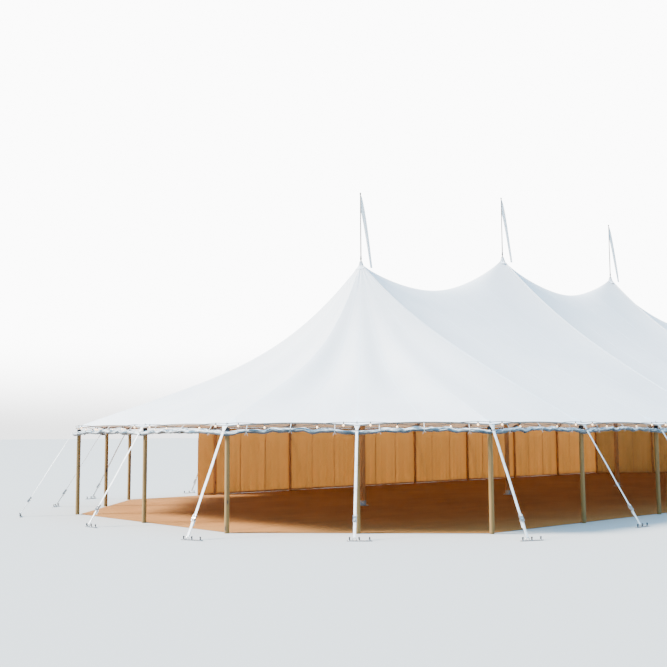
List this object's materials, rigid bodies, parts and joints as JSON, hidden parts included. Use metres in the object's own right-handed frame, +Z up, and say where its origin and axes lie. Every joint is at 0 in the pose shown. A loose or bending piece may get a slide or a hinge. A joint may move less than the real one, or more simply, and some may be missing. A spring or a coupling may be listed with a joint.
{
  "type": "pole marquee tent",
  "caption": "Sailcloth pole marquee with a peaked concave roof, half-octagon ends, timber poles, webbing guys, rolled side walls and pennants.",
  "frame": {"origin": "on the ground, at the centre of the plan, midway between the two middle king poles", "axes": "+X along the ridge, +Y across the tent towards the side whose walls are let down, +Z up"},
  "size_m": [34.0912, 16.1058, 9.22],
  "materials": {
    "sailcloth": "matt translucent sailcloth",
    "timber": "peeled natural timber",
    "webbing": "white polyester webbing with galvanised ratchets and steel anchors",
    "wall_canvas": "warm cream canvas",
    "coir": "woven coir matting",
    "cable_rubber": "black rubber cable"
  },
  "bodies": {
    "root": {"side_pole_01": "timber", "side_pole_02": "timber", "side_pole_03": "timber", "side_pole_04": "timber", "side_pole_05": "timber", "side_pole_06": "timber", "side_pole_07": "timber", "side_pole_08": "timber", "side_pole_09": "timber", "side_pole_10": "timber", "side_pole_11": "timber", "side_pole_12": "timber", "side_pole_13": "timber", "side_pole_14": "timber", "side_pole_15": "timber", "side_pole_16": "timber", "side_pole_17": "timber", "side_pole_18": "timber", "side_pole_19": "timber", "side_pole_20": "timber", "side_pole_21": "timber", "side_pole_22": "timber", "side_pole_23": "timber", "side_pole_24": "timber", "side_pole_25": "timber", "side_pole_26": "timber", "side_pole_27": "timber", "side_pole_28": "timber", "king_pole_1": "timber", "king_pole_2": "timber", "king_pole_3": "timber", "king_pole_4": "timber", "pennant_1": "sailcloth", "pennant_2": "sailcloth", "pennant_3": "sailcloth", "pennant_4": "sailcloth", "roof_west_end": "sailcloth", "roof_middle_1": "sailcloth", "roof_middle_2": "sailcloth", "roof_middle_3": "sailcloth", "roof_east_end": "sailcloth", "guys_near": "webbing", "guys_east": "webbing", "guys_far": "webbing", "guys_west": "webbing", "corner_wall": "wall_canvas", "far_wall": "wall_canvas", "rolled_wall_west": "sailcloth", "rolled_wall_near": "sailcloth", "rolled_wall_east": "sailcloth", "floor_mat": "coir", "festoon_cable": "cable_rubber"}
  },
  "joints": []
}
